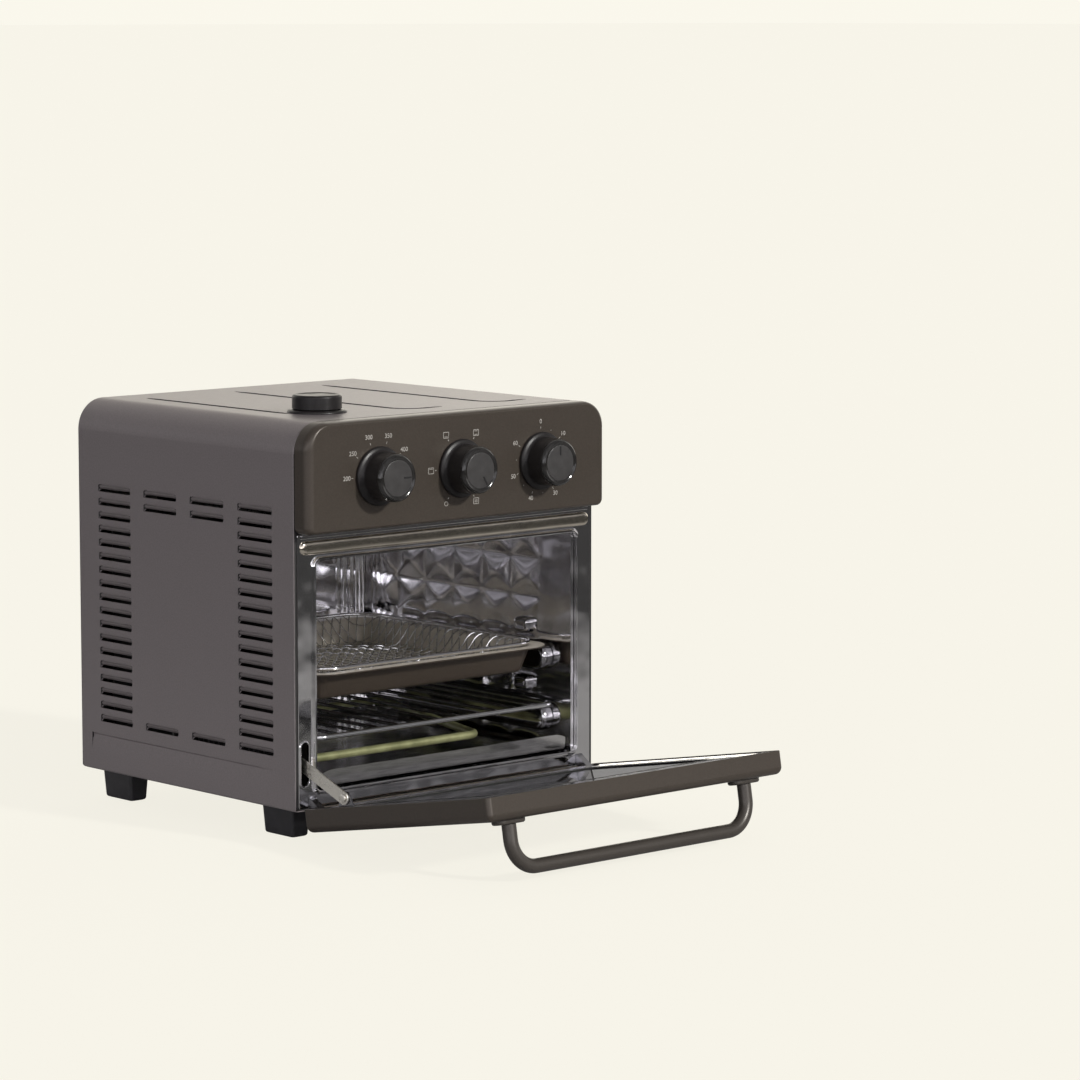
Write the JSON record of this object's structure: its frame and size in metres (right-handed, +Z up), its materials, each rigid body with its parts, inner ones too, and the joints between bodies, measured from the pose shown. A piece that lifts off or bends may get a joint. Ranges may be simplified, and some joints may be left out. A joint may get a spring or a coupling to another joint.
{
  "type": "toaster oven",
  "caption": "Countertop convection toaster oven with a drop-down door, rotary knobs, steam inlet, wire rack, baking pan, air-fry basket and crumb tray.",
  "frame": {"origin": "middle of the footprint of the oven with its door open, on the surface the feet stand on", "axes": "+Z up, -Y towards the user and the opened door, +X towards the timer knob on the user's right"},
  "size_m": [0.31, 0.5054, 0.343],
  "materials": {
    "housing_paint": "satin taupe powder coat with faint metallic flake",
    "panel_paint": "satin dark taupe enamel",
    "handle_paint": "satin dark taupe coating on steel tube",
    "knob_plastic": "semi-gloss dark taupe plastic",
    "chrome_steel": "bright polished steel",
    "zinc_steel": "plain zinc-plated sheet",
    "cavity_steel": "bright polished stainless steel sheet, smooth and mirror-like",
    "heater_sheath": "matt olive-grey oxide sheath",
    "black_plastic": "matt black moulded plastic",
    "switch_plastic": "grey moulded switch housing",
    "door_glass": "clear tempered pane",
    "pan_coating": "greige non-stick inside, dark brown outside",
    "accessory_steel": "bright stainless wire and sheet"
  },
  "bodies": {
    "oven": {"outer_shell": "housing_paint", "back_panel": "zinc_steel", "base_plate": "zinc_steel", "foot_front_left": "black_plastic", "foot_front_right": "black_plastic", "foot_rear_left": "black_plastic", "foot_rear_right": "black_plastic", "rear_bumper_left": "black_plastic", "rear_bumper_right": "black_plastic", "cord_gland": "black_plastic", "front_frame": "chrome_steel", "cavity_left_wall": "cavity_steel", "cavity_right_wall": "cavity_steel", "cavity_floor": "cavity_steel", "cavity_rear_wall": "cavity_steel", "cavity_roof": "cavity_steel", "rail_upper_left": "cavity_steel", "rail_lower_left": "cavity_steel", "rail_upper_right": "cavity_steel", "rail_lower_right": "cavity_steel", "heater_upper": "heater_sheath", "heater_lower": "heater_sheath", "heater_clip": "zinc_steel", "fan_guard": "cavity_steel", "fan_motor": "zinc_steel", "control_panel": "panel_paint", "switch_bracket": "zinc_steel", "thermostat": "switch_plastic", "function_switch": "switch_plastic", "timer_module": "switch_plastic", "steam_inlet": "knob_plastic", "steam_tube": "zinc_steel", "hinge_ear_left": "zinc_steel", "hinge_ear_right": "zinc_steel", "door_spring": "zinc_steel", "spring_anchor": "zinc_steel"},
    "door": {"door_shell": "panel_paint", "door_inner_frame": "chrome_steel", "door_glass_inner": "door_glass", "door_glass_outer": "door_glass", "door_handle": "handle_paint", "handle_plate_left": "handle_paint", "handle_plate_right": "handle_paint", "stay_lug": "zinc_steel", "stay_rivet": "zinc_steel"},
    "stay": {"stay_arm": "zinc_steel"},
    "temperature_dial": {"knob_temperature": "knob_plastic", "shaft_temperature": "zinc_steel"},
    "function_dial": {"knob_function": "knob_plastic", "shaft_function": "zinc_steel"},
    "timer_dial": {"knob_timer": "knob_plastic", "shaft_timer": "zinc_steel"},
    "inlet_cap": {"steam_cap": "knob_plastic"},
    "fan": {"fan_blade": "zinc_steel"},
    "pan": {"baking_pan": "pan_coating"},
    "basket": {"air_fry_basket": "accessory_steel"},
    "rack": {"wire_rack": "accessory_steel"},
    "tray": {"crumb_tray": "accessory_steel"}
  },
  "joints": [
    {"name": "door_hinge", "type": "hinge", "parent": "oven", "child": "door", "pos_m": [0, -0.04281, 0.0267], "axis": [-1, 0, 0], "range_deg": [0, 79.8], "deforming": ["door_spring"]},
    {"name": "stay_pivot", "type": "hinge", "parent": "door", "child": "stay", "pos_m": [-0.146, -0.07878, 0.04587], "axis": [-1, 0, 0], "range_deg": [-61.2, 0]},
    {"name": "temperature_turn", "type": "hinge", "parent": "oven", "child": "temperature_dial", "pos_m": [-0.084, -0.04781, 0.285], "axis": [0, 1, 0], "range_deg": [-210, 0]},
    {"name": "function_turn", "type": "hinge", "parent": "oven", "child": "function_dial", "pos_m": [0, -0.04781, 0.285], "axis": [0, 1, 0], "range_deg": [-300, 0]},
    {"name": "timer_turn", "type": "hinge", "parent": "oven", "child": "timer_dial", "pos_m": [0.084, -0.04781, 0.285], "axis": [0, 1, 0], "range_deg": [0, 300]},
    {"name": "cap_lift", "type": "slide", "parent": "oven", "child": "inlet_cap", "axis": [0, 0, 1], "range_m": [0, 0.03]},
    {"name": "fan_spin", "type": "hinge", "parent": "oven", "child": "fan", "pos_m": [0, 0.12129, 0.2335], "axis": [0, 0, 1], "continuous": true},
    {"name": "pan_slide", "type": "slide", "parent": "oven", "child": "pan", "axis": [0, 1, 0], "range_m": [-0.235, 0]},
    {"name": "basket_lift", "type": "slide", "parent": "pan", "child": "basket", "axis": [0, 0, 1], "range_m": [0, 0.05]},
    {"name": "rack_slide", "type": "slide", "parent": "oven", "child": "rack", "axis": [0, 1, 0], "range_m": [-0.235, 0]},
    {"name": "tray_slide", "type": "slide", "parent": "oven", "child": "tray", "axis": [0, 1, 0], "range_m": [-0.06, 0]}
  ],
  "couplings": [
    {"joint": "stay_pivot", "follows": "door_hinge", "ratio": -0.7669}
  ]
}
